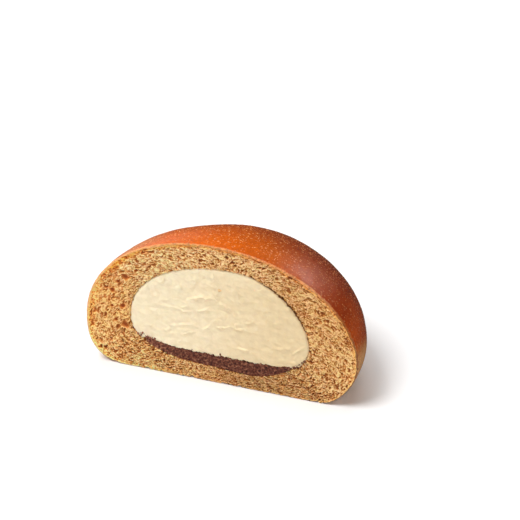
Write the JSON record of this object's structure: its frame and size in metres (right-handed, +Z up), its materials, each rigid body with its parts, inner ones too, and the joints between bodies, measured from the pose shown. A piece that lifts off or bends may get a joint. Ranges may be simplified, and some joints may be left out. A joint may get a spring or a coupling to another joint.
{
  "type": "cream bun",
  "caption": "Round glossy bun cut in half, with soft crumb round a mound of pale cream on a thin bed of sweet bean paste. It rests on its flat base with the cut face upright.",
  "frame": {"origin": "on the base, straight below the middle of the half bun's box", "axes": "+X to the right along the cut, +Y back from the cut face into the bun, +Z up"},
  "size_m": [0.0948, 0.047, 0.0535],
  "materials": {
    "crust": "baked bread crust with an egg glaze: orange-brown to dark red-brown, glossy, with fine pale specks",
    "crumb": "open bread crumb: matt beige-brown with darker pores and pale cell walls",
    "cream": "whipped custard cream: pale yellow, soft satin, with smooth knife ridges",
    "bean_paste": "sweet bean paste: dark purple-brown, grainy, slightly moist"
  },
  "bodies": {
    "root": {"bread": "crust", "cream": "cream", "bean_paste": "bean_paste"}
  },
  "joints": []
}
